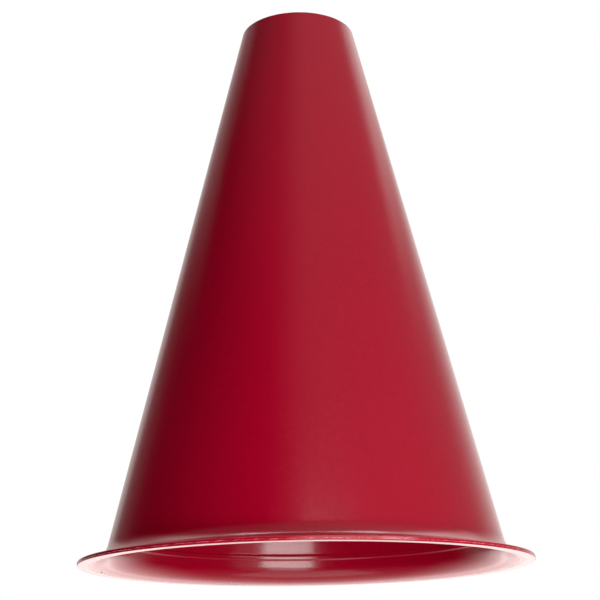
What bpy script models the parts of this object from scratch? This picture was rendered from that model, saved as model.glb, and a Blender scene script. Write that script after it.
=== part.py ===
"""Cheer megaphone: a one-piece moulded plastic cone, open at both ends.

The wide end flares into a flat lip that the megaphone stands on; the narrow end is a plain
mouth opening to shout through. The whole object is a single moulding, so the model is one
closed wall turned about Z. The origin is the centre of the lip's underside, +Z points from
the lip to the mouth, and all lengths are in metres.
"""
import math

import bmesh
import bpy
from mathutils import Matrix, Vector

# Driving dimensions.
LIP_RADIUS = 0.0762        # 6 in across the lip
HEIGHT = 0.1962            # lip underside to mouth, about 7 3/4 in
MOUTH_RADIUS = 0.02073     # outside of the narrow end
CONE_BASE_RADIUS = 0.06787  # where the cone's outer side, carried on straight, would meet z = 0
WALL = 0.00125             # wall thickness, square to the surface
LIP_THICKNESS = 0.0014
FLARE_RADIUS = 0.0072      # outer radius of the curve that turns the cone into the lip

# Small features.
LIP_EDGE_ROUND = 0.0003
MOUTH_EDGE_ROUND = 0.00035
BEAD_TOP = 0.0111          # the low bead inside the bell, with a flat crest between two slopes
BEAD_CREST_HIGH = 0.0099
BEAD_CREST_LOW = 0.0092
BEAD_FOOT = 0.0084
BEAD_STAND = 0.00026       # how far the crest stands in from the wall

# Mesh density.
TURN_STEPS = 96
FLARE_STEPS = 7
ROUND_STEPS = 2
CONE_STEPS = 5
BEAD_STEPS = 3             # on each slope of the bead

SHELL_NAME = "megaphone_shell"
MERGE_DISTANCE = 0.00001

TAPER = (CONE_BASE_RADIUS - MOUTH_RADIUS) / HEIGHT   # radius lost for each metre of height
HALF_ANGLE = math.atan(TAPER)
WALL_ACROSS = WALL / math.cos(HALF_ANGLE)            # the wall measured along a radius


def clear_scene():
    """Removes whatever objects the file opened with."""
    for thing in list(bpy.data.objects):
        bpy.data.objects.remove(thing, do_unlink=True)


def plastic(name, colour, roughness):
    """A Principled material for a moulded plastic part."""
    material = bpy.data.materials.new(name)
    material.use_nodes = True
    shader = material.node_tree.nodes["Principled BSDF"]
    shader.inputs["Base Color"].default_value = (*colour, 1.0)
    shader.inputs["Roughness"].default_value = roughness
    shader.inputs["Metallic"].default_value = 0.0
    return material


def arc(centre, radius, start, end, steps):
    """Points (r, z) on a circular arc, both ends included; angles in radians from +r."""
    turn = (end - start) / steps
    return [
        (
            centre[0] + radius * math.cos(start + turn * i),
            centre[1] + radius * math.sin(start + turn * i),
        )
        for i in range(steps + 1)
    ]


def outer_radius(z):
    return CONE_BASE_RADIUS - TAPER * z


def inner_radius(z):
    return outer_radius(z) - WALL_ACROSS


def flare_centre():
    """Centre (r, z) of the curve that is tangent to the lip's top face and the cone's side."""
    z = LIP_THICKNESS + FLARE_RADIUS
    return outer_radius(z) + FLARE_RADIUS / math.cos(HALF_ANGLE), z


def lip_edge():
    """From the flat underside round the lip's edge to its top face."""
    r = LIP_RADIUS - LIP_EDGE_ROUND
    bottom = arc((r, LIP_EDGE_ROUND), LIP_EDGE_ROUND, -math.pi / 2, 0.0, ROUND_STEPS)
    top = arc((r, LIP_THICKNESS - LIP_EDGE_ROUND), LIP_EDGE_ROUND, 0.0, math.pi / 2, ROUND_STEPS)
    return bottom + top


def outer_flare():
    """The hollow curve from the lip's top face up onto the cone."""
    return arc(flare_centre(), FLARE_RADIUS, -math.pi / 2, -math.pi + HALF_ANGLE, FLARE_STEPS)


def mouth_end():
    """The narrow end's rounded outer edge, flat top and rounded inner edge."""
    top = HEIGHT - MOUTH_EDGE_ROUND
    outside = outer_radius(top) - MOUTH_EDGE_ROUND
    inside = inner_radius(top) + MOUTH_EDGE_ROUND
    return arc((outside, top), MOUTH_EDGE_ROUND, HALF_ANGLE, math.pi / 2, ROUND_STEPS) + arc(
        (inside, top), MOUTH_EDGE_ROUND, math.pi / 2, math.pi, ROUND_STEPS
    )


def cone_rings(side, low, high):
    """Evenly spaced points strictly between two heights on one side of the cone."""
    heights = [low + (high - low) * (i + 1) / (CONE_STEPS + 1) for i in range(CONE_STEPS)]
    return [(side(z), z) for z in heights]


def bead_slope(outer, crest):
    """The rings of one slope of the bead, from the wall at one height to the crest at another."""
    rings = []
    for i in range(BEAD_STEPS + 1):
        z = outer + (crest - outer) * i / BEAD_STEPS
        stand = BEAD_STAND * (0.5 - 0.5 * math.cos(math.pi * i / BEAD_STEPS))
        rings.append((inner_radius(z) - stand, z))
    return rings


def bead():
    """The bead's rings, listed from above downwards."""
    lower = bead_slope(BEAD_FOOT, BEAD_CREST_LOW)
    lower.reverse()
    return bead_slope(BEAD_TOP, BEAD_CREST_HIGH) + lower


def inner_flare():
    """The rounded inside of the bell, tangent to the inner wall and to the flat underside.

    Its radius is the outer flare's plus the wall, so the wall keeps its thickness.
    """
    radius = FLARE_RADIUS + WALL
    flat_start = inner_radius(0.0) + radius * (1.0 - math.sin(HALF_ANGLE)) / math.cos(HALF_ANGLE)
    return arc((flat_start, radius), radius, -math.pi + HALF_ANGLE, -math.pi / 2, FLARE_STEPS)


def shell_profile():
    """The closed outline of the wall, anticlockwise in the (r, z) half plane."""
    outside = lip_edge() + outer_flare()
    top = mouth_end()
    up = cone_rings(outer_radius, outside[-1][1], top[0][1])
    inside = bead()
    down = cone_rings(inner_radius, inside[0][1], top[-1][1])
    down.reverse()
    return outside + up + top + down + inside + inner_flare()


def turned(name, profile, material):
    """A closed solid made by turning an outline of (r, z) points about Z."""
    bm = bmesh.new()
    points = [bm.verts.new((r, 0.0, z)) for r, z in profile]
    outline = [bm.edges.new((a, b)) for a, b in zip(points, points[1:] + points[:1])]
    bmesh.ops.spin(
        bm,
        geom=points + outline,
        cent=Vector((0.0, 0.0, 0.0)),
        axis=Vector((0.0, 0.0, 1.0)),
        angle=2.0 * math.pi,
        steps=TURN_STEPS,
        use_merge=True,
    )
    bmesh.ops.remove_doubles(bm, verts=bm.verts, dist=MERGE_DISTANCE)
    bmesh.ops.recalc_face_normals(bm, faces=bm.faces)
    mesh = bpy.data.meshes.new(name)
    bm.to_mesh(mesh)
    bm.free()
    mesh.materials.append(material)
    mesh.shade_smooth()
    mesh.set_sharp_from_angle(angle=math.radians(30.0))
    piece = bpy.data.objects.new(name, mesh)
    piece.matrix_world = Matrix.Identity(4)
    bpy.context.scene.collection.objects.link(piece)
    return piece


def main():
    clear_scene()
    red_plastic = plastic("red_gloss_plastic", (0.30, 0.006, 0.022), 0.3)
    turned(SHELL_NAME, shell_profile(), red_plastic)


main()
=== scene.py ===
"""Looks of the cheer megaphone: the moulded shell at full detail, its plastic, and a plain studio.

The CAD shell is a faceted stand-in, so one finely turned piece replaces it. Everything is in
metres in the frame of the CAD part: origin at the centre of the lip's underside, +Z to the mouth.
"""
import math

import bpy
from mathutils import Euler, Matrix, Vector, noise


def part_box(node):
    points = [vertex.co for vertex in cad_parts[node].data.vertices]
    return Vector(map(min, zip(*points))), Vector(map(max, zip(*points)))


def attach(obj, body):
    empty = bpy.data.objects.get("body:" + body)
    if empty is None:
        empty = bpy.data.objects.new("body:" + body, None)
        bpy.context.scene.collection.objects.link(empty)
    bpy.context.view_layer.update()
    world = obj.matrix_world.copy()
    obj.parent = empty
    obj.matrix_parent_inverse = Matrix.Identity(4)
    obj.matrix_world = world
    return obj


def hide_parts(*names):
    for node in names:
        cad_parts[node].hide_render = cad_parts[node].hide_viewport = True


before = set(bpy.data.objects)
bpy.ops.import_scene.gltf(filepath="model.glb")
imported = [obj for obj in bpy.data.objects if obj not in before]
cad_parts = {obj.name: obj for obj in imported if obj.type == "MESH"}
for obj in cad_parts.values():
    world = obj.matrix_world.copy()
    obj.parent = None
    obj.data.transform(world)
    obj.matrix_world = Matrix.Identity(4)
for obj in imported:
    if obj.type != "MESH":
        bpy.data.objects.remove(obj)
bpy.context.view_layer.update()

SHELL_NODE = "megaphone_shell"
BOX_LOW, BOX_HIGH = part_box(SHELL_NODE)
LIP_RADIUS = BOX_HIGH[0]
HEIGHT = BOX_HIGH[2]

# The shell, in metres.
MOUTH_RADIUS = 0.02073
CONE_BASE_RADIUS = 0.06787   # where the cone's outer side would meet the lip's plane
WALL = 0.00125
LIP_THICKNESS = 0.0014
FLARE_RADIUS = 0.0072
FLASH_PROUD = 0.00012        # how far the trimmed flash may stand out of the lip's edge
LIP_CORNER = 0.0003
MOUTH_ROUND = 0.0003
BEAD_TOP = 0.0111            # the low bead inside the bell
BEAD_CREST_HIGH = 0.0099
BEAD_CREST_LOW = 0.0092
BEAD_FOOT = 0.0084
BEAD_STAND = 0.00026
WITNESS_RADIUS = 0.0718      # the fine mould line where the bell rounds into the underside
WITNESS_WIDTH = 0.00016
WITNESS_DEPTH = 0.00005
WITNESS_SIDE = 0.005         # radians of the bell's curve that each side of the line takes
END_GAP = 0.0001             # from the end of a curve to the ring that keeps its shading

TURN_STEPS = 512
SMOOTH_STEP = math.radians(3.0)   # turn between neighbouring points of an arc

TAPER = (CONE_BASE_RADIUS - MOUTH_RADIUS) / HEIGHT
HALF_ANGLE = math.atan(TAPER)
WALL_ACROSS = WALL / math.cos(HALF_ANGLE)
EDGE_RADIUS = LIP_RADIUS - FLASH_PROUD


# ---------------------------------------------------------------- outline of the wall

def arc(centre, radius, start, end):
    """Points (r, z) on an arc, both ends included."""
    steps = max(4, round(abs(end - start) / SMOOTH_STEP))
    turn = (end - start) / steps
    return [
        (
            centre[0] + radius * math.cos(start + turn * i),
            centre[1] + radius * math.sin(start + turn * i),
        )
        for i in range(steps + 1)
    ]


def held(a, b, hold=0.04):
    """Points just inside both ends of a flat, which keep its shading flat."""
    return [tuple(p + (q - p) * t for p, q in zip(a, b)) for t in (hold, 1.0 - hold)]


def outer_radius(z):
    return CONE_BASE_RADIUS - TAPER * z


def inner_radius(z):
    return outer_radius(z) - WALL_ACROSS


def flare_centre():
    z = LIP_THICKNESS + FLARE_RADIUS
    return outer_radius(z) + FLARE_RADIUS / math.cos(HALF_ANGLE), z


def lip_edge():
    """The lip's two rounded corners with the upright edge between them."""
    r = EDGE_RADIUS - LIP_CORNER
    low = arc((r, LIP_CORNER), LIP_CORNER, -math.pi / 2, 0.0)
    high = arc((r, LIP_THICKNESS - LIP_CORNER), LIP_CORNER, 0.0, math.pi / 2)
    return low + held(low[-1], high[0]) + high


def outer_flare():
    return arc(flare_centre(), FLARE_RADIUS, -math.pi / 2, -math.pi + HALF_ANGLE)


def mouth_end():
    top = HEIGHT - MOUTH_ROUND
    outside = outer_radius(top) - MOUTH_ROUND
    inside = inner_radius(top) + MOUTH_ROUND
    first = arc((outside, top), MOUTH_ROUND, HALF_ANGLE, math.pi / 2)
    last = arc((inside, top), MOUTH_ROUND, math.pi / 2, math.pi + HALF_ANGLE)
    return first + held(first[-1], last[0], 0.1) + last


def cone_rings(side, low, high, count=24):
    """Rings up one side of the cone, close together near the ends."""
    rings = []
    for i in range(1, count):
        t = 0.5 - 0.5 * math.cos(math.pi * i / count)
        z = low + (high - low) * t
        rings.append((side(z), z))
    return rings


def bead_offset(z):
    """How far the bead stands in from the wall at a height: two smooth sides and a flat crest."""
    if z > BEAD_CREST_HIGH:
        t = min(1.0, (z - BEAD_CREST_HIGH) / (BEAD_TOP - BEAD_CREST_HIGH))
    else:
        t = min(1.0, max(0.0, (BEAD_CREST_LOW - z) / (BEAD_CREST_LOW - BEAD_FOOT)))
    return BEAD_STAND * (0.5 + 0.5 * math.cos(math.pi * t))


def bead(steps=40):
    """The bead, from above downwards."""
    rings = []
    for i in range(steps + 1):
        z = BEAD_TOP + (BEAD_FOOT - BEAD_TOP) * i / steps
        rings.append((inner_radius(z) - bead_offset(z), z))
    return rings


def bell_curve():
    """Radius of the bell's rounded inside, and the distance from the axis where its flat starts."""
    radius = FLARE_RADIUS + WALL
    flat_start = inner_radius(0.0) + radius * (1.0 - math.sin(HALF_ANGLE)) / math.cos(HALF_ANGLE)
    return radius, flat_start


def inner_flare():
    """The rounded inside of the bell, from the wall down to the flat, with the mould line in it."""
    radius, flat_start = bell_curve()
    centre = (flat_start, radius)
    low, high = (
        -math.pi / 2 - math.asin((flat_start - WITNESS_RADIUS + side) / radius)
        for side in (-WITNESS_WIDTH, 0.0)
    )
    line = arc(centre, radius - WITNESS_DEPTH, high + WITNESS_SIDE, low - WITNESS_SIDE)
    return (
        arc(centre, radius, -math.pi + HALF_ANGLE, high)
        + line
        + arc(centre, radius, low, -math.pi / 2)
    )


def underside(flare_end):
    """The flat that the lip rests on."""
    return held(flare_end, (EDGE_RADIUS - LIP_CORNER, 0.0))


def shell_outline():
    outside = lip_edge() + outer_flare()
    top = mouth_end()
    up = cone_rings(outer_radius, outside[-1][1], top[0][1])
    step = bead()
    down = cone_rings(inner_radius, step[0][1], top[-1][1])
    down.reverse()
    flare = inner_flare()
    wall = [(inner_radius(z), z) for z in (BEAD_FOOT - END_GAP, flare[0][1] + END_GAP)]
    return outside + up + top + down + step + wall + flare + underside(flare[-1])


# ---------------------------------------------------------------- meshes

def skin_of(rings):
    """Vertices and four-cornered faces of rings of points that all have the same length."""
    count = len(rings[0])
    faces = []
    for i in range(len(rings)):
        here, after = i * count, (i + 1) % len(rings) * count
        for j in range(count):
            k = (j + 1) % count
            faces.append((here + j, after + j, after + k, here + k))
    return [point for ring in rings for point in ring], faces


def turned(outline, steps):
    """The skin made by turning an anticlockwise outline of (r, z) points about Z."""
    rings = []
    for i in range(steps):
        angle = 2.0 * math.pi * i / steps
        c, s = math.cos(angle), math.sin(angle)
        rings.append([(r * c, r * s, z) for r, z in outline])
    return skin_of(rings)


def finished(name, skin, *materials):
    """Makes a smooth shaded object of vertices and faces."""
    mesh = bpy.data.meshes.new(name)
    mesh.from_pydata(skin[0], [], skin[1])
    for material in materials:
        mesh.materials.append(material)
    mesh.shade_smooth()
    piece = bpy.data.objects.new(name, mesh)
    bpy.context.scene.collection.objects.link(piece)
    return piece


def build_shell(material):
    return finished("megaphone_body", turned(shell_outline(), TURN_STEPS), material)


FLASH_STEPS = 2400
FLASH_HEIGHT = 0.00024       # of the torn line's root on the lip's edge
FLASH_MIDDLE = 0.0006        # height of the parting line on the lip's edge
FLASH_WANDER = 0.00014       # how far that height goes up and down
FLASH_ROOT = 0.00008         # how deep the torn line's root sits in the lip's edge


def flash_noise(angle, scale, seed):
    """Noise round the lip that closes on itself."""
    place = Vector((math.cos(angle), math.sin(angle), 0.0)) * scale
    return noise.noise(place + Vector((0.0, 0.0, seed)))


def build_flash(material):
    """The torn parting line round the lip's edge: a low ragged ridge that comes and goes."""
    rings = []
    for i in range(FLASH_STEPS):
        angle = 2.0 * math.pi * i / FLASH_STEPS
        patch = flash_noise(angle, 12.0, 3.1) + 0.6 * flash_noise(angle, 90.0, 8.7)
        fine = 0.5 + 0.5 * flash_noise(angle, 420.0, 1.3)
        proud = FLASH_PROUD * max(-0.5, min(1.0, 0.7 + 1.2 * patch)) * (0.45 + 0.55 * fine)
        middle = FLASH_MIDDLE + FLASH_WANDER * flash_noise(angle, 30.0, 5.9)
        half = 0.5 * FLASH_HEIGHT * (0.6 + 0.5 * fine)
        root = EDGE_RADIUS - FLASH_ROOT
        section = (
            (root, middle - half),
            (EDGE_RADIUS + 0.55 * proud, middle - 0.55 * half),
            (EDGE_RADIUS + proud, middle + 0.1 * half),
            (EDGE_RADIUS + 0.4 * proud, middle + 0.6 * half),
            (root, middle + half),
        )
        rings.append([(r * math.cos(angle), r * math.sin(angle), z) for r, z in section])
    return finished("lip_flash", skin_of(rings), material)


def bell_point(radius, angle):
    """A point on the bell's rounded inside or on the flat beside it; angle in degrees."""
    curve, flat_start = bell_curve()
    lean = math.asin(min(1.0, max(0.0, (flat_start - radius) / curve)))
    turn = math.radians(angle)
    z = curve - curve * math.cos(lean)
    return Vector((radius * math.cos(turn), radius * math.sin(turn), z))


def capped(rings):
    """Vertices and faces of an open run of rings, closed at both ends."""
    count = len(rings[0])
    faces = []
    for i in range(len(rings) - 1):
        for j in range(count):
            k = (j + 1) % count
            here, after = i * count, (i + 1) * count
            faces.append((here + j, after + j, after + k, here + k))
    last = (len(rings) - 1) * count
    faces.append(tuple(range(count)))
    faces.append(tuple(last + j for j in reversed(range(count))))
    return [point for ring in rings for point in ring], faces


BURR_RADIUS = 0.0713         # distance of the burr from the axis
BURR_ANGLE = 171.0           # degrees round from +X
BURR_LENGTH = 0.0011
BURR_WIDTH = 0.0008
BURR_PROUD = 0.00014
BURR_RINGS = 24
BURR_TURN_STEPS = 24
BURR_END = 0.02              # part of the half turn from pole to pole that each flat end leaves out
SLOPE_STEP = 0.0002          # to either side, to find the slope of the bell under the burr


def build_burr(material):
    """A small burr: a flattened lump that stands out of the bell's rounded inside."""
    centre = bell_point(BURR_RADIUS, BURR_ANGLE)
    further = bell_point(BURR_RADIUS + SLOPE_STEP, BURR_ANGLE)
    nearer = bell_point(BURR_RADIUS - SLOPE_STEP, BURR_ANGLE)
    across = (further - nearer).normalized()
    along = Vector((-math.sin(math.radians(BURR_ANGLE)), math.cos(math.radians(BURR_ANGLE)), 0.0))
    out = along.cross(across)
    if out.z > 0.0:
        out = -out
    rings = []
    for i in range(BURR_RINGS + 1):
        tilt = math.pi * (BURR_END + (1.0 - 2.0 * BURR_END) * i / BURR_RINGS)
        ring = []
        for j in range(BURR_TURN_STEPS):
            turn = 2.0 * math.pi * j / BURR_TURN_STEPS
            lump = 1.0 + 0.25 * noise.noise(Vector((math.cos(turn), math.sin(turn), 2.0 * tilt)))
            point = (
                along * (0.5 * BURR_LENGTH * math.sin(tilt) * math.cos(turn) * lump)
                + across * (0.5 * BURR_WIDTH * math.sin(tilt) * math.sin(turn) * lump)
                + out * (BURR_PROUD * math.cos(tilt))
            )
            ring.append(tuple(centre + point))
        rings.append(ring)
    return finished("bell_burr", capped(rings), material)


# ---------------------------------------------------------------- plastic

RED = (0.37, 0.0006, 0.0185)
PAINTED_LIGHT_EDGE_RED = (0.42, 0.002, 0.023)   # painted light: a paler red on the thin lip edge stands in for the brighter light the edge catches
STRESS_PINK = (0.84, 0.30, 0.33)  # where plastic was torn
PLASTIC_IOR = 1.5


class Nodes:
    """Short calls for adding and joining the nodes of one material or world."""

    def __init__(self, tree):
        self.tree = tree

    def add(self, kind, **settings):
        node = self.tree.nodes.new(kind)
        for name, value in settings.items():
            setattr(node, name, value)
        return node

    def join(self, source, target):
        self.tree.links.new(source, target)

    def noise(self, vector, scale, detail=2.0, rough=0.5):
        node = self.add("ShaderNodeTexNoise")
        node.inputs["Scale"].default_value = scale
        node.inputs["Detail"].default_value = detail
        node.inputs["Roughness"].default_value = rough
        self.join(vector, node.inputs["Vector"])
        return node.outputs["Fac"]

    def ramp(self, value, low, high, to_low=0.0, to_high=1.0):
        """Goes smoothly from one number to another while a value goes from low to high."""
        node = self.add("ShaderNodeMapRange")
        node.interpolation_type = "SMOOTHSTEP"
        for name, number in zip(
            ("From Min", "From Max", "To Min", "To Max"), (low, high, to_low, to_high)
        ):
            node.inputs[name].default_value = number
        self.join(value, node.inputs["Value"])
        return node.outputs["Result"]

    def math(self, operation, a, b):
        node = self.add("ShaderNodeMath", operation=operation)
        for socket, value in zip(node.inputs, (a, b)):
            if isinstance(value, (int, float)):
                socket.default_value = value
            else:
                self.join(value, socket)
        return node.outputs["Value"]

    def blend(self, factor, a, b):
        """Mixes two colours."""
        node = self.add("ShaderNodeMix", data_type="RGBA")
        self.join(factor, node.inputs["Factor"])
        for socket, value in zip((node.inputs[6], node.inputs[7]), (a, b)):
            if isinstance(value, tuple):
                socket.default_value = (*value, 1.0)
            else:
                self.join(value, socket)
        return node.outputs[2]

    def distance_from_axis(self, place):
        """How far a point is from the Z axis."""
        flat = self.stretched(place, (1.0, 1.0, 0.0))
        node = self.add("ShaderNodeVectorMath", operation="LENGTH")
        self.join(flat, node.inputs[0])
        return node.outputs["Value"]

    def stretched(self, vector, scale):
        node = self.add("ShaderNodeMapping")
        node.inputs["Scale"].default_value = scale
        self.join(vector, node.inputs["Vector"])
        return node.outputs["Vector"]

    def bump(self, height, distance, strength, before=None):
        node = self.add("ShaderNodeBump")
        node.inputs["Distance"].default_value = distance
        node.inputs["Strength"].default_value = strength
        self.join(height, node.inputs["Height"])
        if before is not None:
            self.join(before, node.inputs["Normal"])
        return node.outputs["Normal"]


def principled(name):
    material = bpy.data.materials.new(name)
    material.use_nodes = True
    return material, material.node_tree.nodes["Principled BSDF"], Nodes(material.node_tree)


def moulded_plastic():
    """Semi-gloss red plastic, a little paler on the lip's edge, where painted light stands in for
    the brighter light that the edge catches.

    It has faint flow shading, mottle, rubs and grain, a slight waviness, and fine scratches
    on the underside.
    """
    material, shader, n = principled("moulded_red_plastic")
    shader.inputs["IOR"].default_value = PLASTIC_IOR
    place = n.add("ShaderNodeTexCoord").outputs["Object"]
    flow = n.noise(n.stretched(place, (1.0, 1.0, 0.35)), 28.0, 3.0)
    mottle = n.noise(place, 700.0, 3.0, 0.6)
    grain = n.noise(place, 2200.0, 2.0, 0.6)
    rubs = n.noise(n.stretched(place, (1.0, 1.0, 0.12)), 320.0, 4.0, 0.65)

    shade = n.blend(n.ramp(flow, 0.3, 0.7), RED, tuple(0.95 * c for c in RED))
    shade = n.blend(n.ramp(mottle, 0.35, 0.7), shade, tuple(1.06 * c for c in RED))
    # painted light: this mask lays the paler edge red on the lip's edge
    painted_light_edge = n.ramp(n.distance_from_axis(place), EDGE_RADIUS - 0.0004, EDGE_RADIUS - 0.00005)
    shade = n.blend(painted_light_edge, shade, PAINTED_LIGHT_EDGE_RED)
    n.join(shade, shader.inputs["Base Color"])

    scratches = hairlines(n, place)
    gloss = n.math("ADD", n.ramp(mottle, 0.3, 0.7, 0.15, 0.19), n.ramp(rubs, 0.5, 0.8, 0.0, 0.04))
    gloss = n.math("ADD", gloss, n.math("MULTIPLY", scratches, 0.15))
    n.join(gloss, shader.inputs["Roughness"])

    waves = n.bump(n.noise(place, 34.0, 1.0), 0.00016, 0.5)
    peel = n.bump(mottle, 0.000006, 0.5, waves)
    scratched = n.bump(n.math("MULTIPLY", scratches, -1.0), 0.00001, 0.3, peel)
    n.join(n.bump(grain, 0.000003, 0.4, scratched), shader.inputs["Normal"])
    return material


def hairlines(n, place):
    """Short fine curved scratches in the lip's underside, where it slides on the ground."""
    warp = n.add("ShaderNodeVectorMath", operation="ADD")
    swirl = n.add("ShaderNodeTexNoise")
    swirl.inputs["Scale"].default_value = 40.0
    n.join(place, swirl.inputs["Vector"])
    n.join(place, warp.inputs[0])
    n.join(n.stretched(swirl.outputs["Color"], (0.02, 0.02, 0.02)), warp.inputs[1])
    cells = n.add("ShaderNodeTexVoronoi", feature="DISTANCE_TO_EDGE")
    cells.inputs["Scale"].default_value = 70.0
    n.join(warp.outputs["Vector"], cells.inputs["Vector"])
    line = n.ramp(cells.outputs["Distance"], 0.0, 0.011, 1.0, 0.0)
    split = n.add("ShaderNodeSeparateXYZ")
    n.join(place, split.inputs["Vector"])
    low = n.ramp(split.outputs["Z"], 0.0018, 0.0006, 0.0, 1.0)
    worn = n.ramp(n.noise(place, 60.0, 2.0), 0.50, 0.58)
    return n.math("MULTIPLY", line, n.math("MULTIPLY", low, worn))


def torn_plastic():
    """The same plastic where the flash was torn off: stress whitened in patches, and dull."""
    material, shader, n = principled("torn_red_plastic")
    shader.inputs["IOR"].default_value = PLASTIC_IOR
    place = n.add("ShaderNodeTexCoord").outputs["Object"]
    patches = n.noise(place, 620.0, 4.0, 0.7)
    pale = n.ramp(patches, 0.42, 0.60)
    # the base is the lip edge's paler red, painted light for the brighter light on the edge; the
    # pale patches are stress whitening
    n.join(n.blend(pale, PAINTED_LIGHT_EDGE_RED, STRESS_PINK), shader.inputs["Base Color"])
    n.join(n.ramp(patches, 0.3, 0.7, 0.3, 0.55), shader.inputs["Roughness"])
    n.join(n.bump(n.noise(place, 4000.0, 2.0), 0.00002, 0.6), shader.inputs["Normal"])
    return material


# ---------------------------------------------------------------- studio

WARM_WHITE = (1.06, 1.0, 0.965)
PLAIN_WHITE = (1.0, 1.0, 1.0)
CAMERA_WHITE = 1.0           # strength of the white that the camera sees


def make_world():
    """Warm white surroundings behind, below and above, a dim right side and a dark left side.

    The camera itself sees plain white, while the object is lit by and mirrors the studio.
    The numbers were fitted by comparing renders with the photo.
    """
    world = bpy.data.worlds.new("studio")
    world.use_nodes = True
    n = Nodes(world.node_tree)
    background = world.node_tree.nodes["Background"]
    direction = n.add("ShaderNodeTexCoord").outputs["Generated"]
    split = n.add("ShaderNodeSeparateXYZ")
    n.join(direction, split.inputs["Vector"])
    x, y, z = split.outputs

    dark_left = n.math("MULTIPLY", n.ramp(x, -0.48, -0.58), n.ramp(z, 0.54, 0.42, 0.0, 0.65))
    lit = n.math("SUBTRACT", 1.0, dark_left)
    behind = n.math("MULTIPLY", n.ramp(y, 0.40, 1.0, 0.0, 0.75), lit)

    # Low behind, the surroundings are dimmest in the middle and brightest a little to each side.
    aside = n.math("ABSOLUTE", x, 0.0)
    rise = n.ramp(aside, 0.05, 0.16, 0.72, 1.45)
    fall = n.ramp(aside, 0.16, 0.3, 1.0, 0.6)
    spread = n.math("MULTIPLY", rise, fall)
    spread = n.math("ADD", spread, n.ramp(z, -0.11, -0.18, 0.0, 0.5))
    behind_low = n.math("MULTIPLY", n.ramp(y, 0.3, 0.9), n.ramp(z, 0.15, -0.35))
    behind_low = n.math("MULTIPLY", behind_low, spread)

    below = n.math("ADD", n.ramp(z, -0.5, -0.9, 0.0, 0.30), n.ramp(z, -0.85, -0.97, 0.0, 0.35))
    below_back = n.math("MULTIPLY", n.ramp(y, 0.0, 0.5), n.ramp(z, -0.3, -0.7, 0.0, 0.8))
    right = n.math("MULTIPLY", n.ramp(x, -0.38, 0.15), n.ramp(z, -0.3, 0.1, 0.0, 0.32))

    above = n.ramp(z, 0.62, 0.85, 0.0, 0.2)
    above_back = n.math("MULTIPLY", n.ramp(y, 0.1, 0.5), n.ramp(z, 0.6, 0.8, 0.0, 1.1))
    sides = n.math("ADD", n.ramp(x, -0.2, -0.4, 0.0, 0.26), n.ramp(x, 0.2, 0.4, 0.0, 0.9))
    above_sides = n.math("MULTIPLY", n.ramp(y, 0.2, 0.5), n.ramp(z, 0.47, 0.6))
    above_sides = n.math("MULTIPLY", above_sides, sides)

    mirrored = behind
    for part in (behind_low, below, below_back, right, above, above_back, above_sides):
        mirrored = n.math("ADD", mirrored, part)

    rays = n.add("ShaderNodeLightPath")
    strength = n.add("ShaderNodeMix", data_type="FLOAT")
    n.join(rays.outputs["Is Camera Ray"], strength.inputs[0])
    n.join(mirrored, strength.inputs[2])
    strength.inputs[3].default_value = CAMERA_WHITE
    n.join(strength.outputs[0], background.inputs["Strength"])
    colour = n.blend(rays.outputs["Is Camera Ray"], WARM_WHITE, PLAIN_WHITE)
    n.join(colour, background.inputs["Color"])
    bpy.context.scene.world = world


def panel(name, centre, width, height, radiance, away, mirrored=True):
    """A soft rectangular light that shines against the direction "away"."""
    data = bpy.data.lights.new(name, "AREA")
    data.shape = "RECTANGLE"
    data.size, data.size_y = width, height
    data.energy = radiance * math.pi * width * height
    light = bpy.data.objects.new(name, data)
    light.location = centre
    light.rotation_mode = "QUATERNION"
    light.rotation_quaternion = Vector(away).to_track_quat("Z", "Y")
    light.visible_camera = False
    light.visible_glossy = mirrored
    bpy.context.scene.collection.objects.link(light)


def make_lights():
    """Soft panels in front and below, a softbox above and a rim light that isn't mirrored."""
    front = (0.0, -1.0, 0.0)
    panel("low_softbox", (0.153, -0.60, -0.278), 0.395, 0.125, 9.6, front)
    panel("low_fade", (0.153, -0.60, -0.48), 0.34, 0.26, 2.4, front)
    panel("front_panel", (0.17, -0.61, 0.11), 0.40, 0.50, 1.95, front)
    panel("wide_panel", (0.328, -0.62, -0.24), 0.745, 1.12, 0.45, front)
    panel("right_softbox", (0.57, -0.60, 0.02), 0.36, 0.40, 4.8, front)
    panel("floor_card", (0.0, -0.35, -0.80), 0.8, 0.6, 0.95, (0.0, 0.0, -1.0))
    panel("overhead_softbox", (0.02, 0.25, 0.90), 0.60, 0.24, 4.2, (0.0, 0.0, 1.0))
    panel("rim_panel", (-0.40, 0.38, 0.28), 0.4, 0.4, 3.3, (-0.65, 0.62, 0.43), mirrored=False)


FLOOR_HALF = 6.0
FLOOR_GAP = 0.0002           # between the lip and the floor
FLOOR_GREY = (0.25, 0.25, 0.25)
FLOOR_GLOW = (0.60, 0.60, 0.60)


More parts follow.
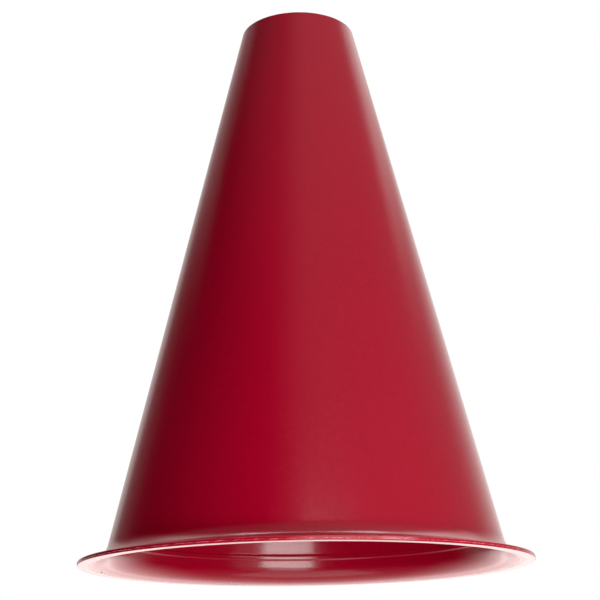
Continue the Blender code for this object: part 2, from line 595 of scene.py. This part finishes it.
def make_floor():
    """A pale floor with some light of its own, which the object neither mirrors nor is lit by.

    It is seen only from above, as the camera looks up from below it.
    """
    mesh = bpy.data.meshes.new("floor")
    half, z = FLOOR_HALF, BOX_LOW[2] - FLOOR_GAP
    corners = [(-half, -half, z), (half, -half, z), (half, half, z), (-half, half, z)]
    mesh.from_pydata(corners, [], [(0, 1, 2, 3)])
    floor = bpy.data.objects.new("floor", mesh)
    bpy.context.scene.collection.objects.link(floor)
    material, shader, n = principled("pale_floor")
    shader.inputs["Base Color"].default_value = (*FLOOR_GREY, 1.0)
    shader.inputs["Roughness"].default_value = 0.9
    shader.inputs["Specular IOR Level"].default_value = 0.0
    shader.inputs["Emission Color"].default_value = (*FLOOR_GLOW, 1.0)
    shader.inputs["Emission Strength"].default_value = 1.0
    clear = n.add("ShaderNodeBsdfTransparent")
    side = n.add("ShaderNodeNewGeometry")
    mix = n.add("ShaderNodeMixShader")
    n.join(side.outputs["Backfacing"], mix.inputs[0])
    n.join(shader.outputs[0], mix.inputs[1])
    n.join(clear.outputs[0], mix.inputs[2])
    n.join(mix.outputs[0], material.node_tree.nodes["Material Output"].inputs["Surface"])
    mesh.materials.append(material)
    floor.visible_diffuse = False
    floor.visible_glossy = False
    floor.visible_transmission = False
    floor.visible_shadow = False


# The camera stands in front of the bell, a little below the lip, and looks up.
CAMERA_BACK = 6.102          # lip radii in front of the axis
CAMERA_DROP = 0.5954         # lip radii below the lip
CAMERA_PITCH = 16.625        # degrees up
CAMERA_ROLL = -0.911
CAMERA_YAW = 0.087
CAMERA_LENS = 81.945         # millimetres, for the sensor's width
SENSOR_WIDTH = 36.0


def make_camera():
    data = bpy.data.cameras.new("camera")
    data.lens = CAMERA_LENS
    data.sensor_width = SENSOR_WIDTH
    camera = bpy.data.objects.new("camera", data)
    camera.location = (0.0, -CAMERA_BACK * LIP_RADIUS, -CAMERA_DROP * LIP_RADIUS)
    look = Euler((math.radians(90.0 + CAMERA_PITCH), 0.0, math.radians(CAMERA_YAW)))
    turn = Euler((0.0, 0.0, math.radians(CAMERA_ROLL)))
    camera.rotation_mode = "QUATERNION"
    camera.rotation_quaternion = look.to_quaternion() @ turn.to_quaternion()
    bpy.context.scene.collection.objects.link(camera)
    bpy.context.scene.camera = camera


# ---------------------------------------------------------------- everything together

def main():
    make_camera()
    make_world()
    make_lights()
    make_floor()
    bpy.context.scene.view_settings.view_transform = "Standard"

    plastic = moulded_plastic()
    shell = build_shell(plastic)
    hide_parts(SHELL_NODE)
    flash = build_flash(torn_plastic())
    burr = build_burr(plastic)
    for piece in (shell, flash, burr):
        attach(piece, "root")


main()
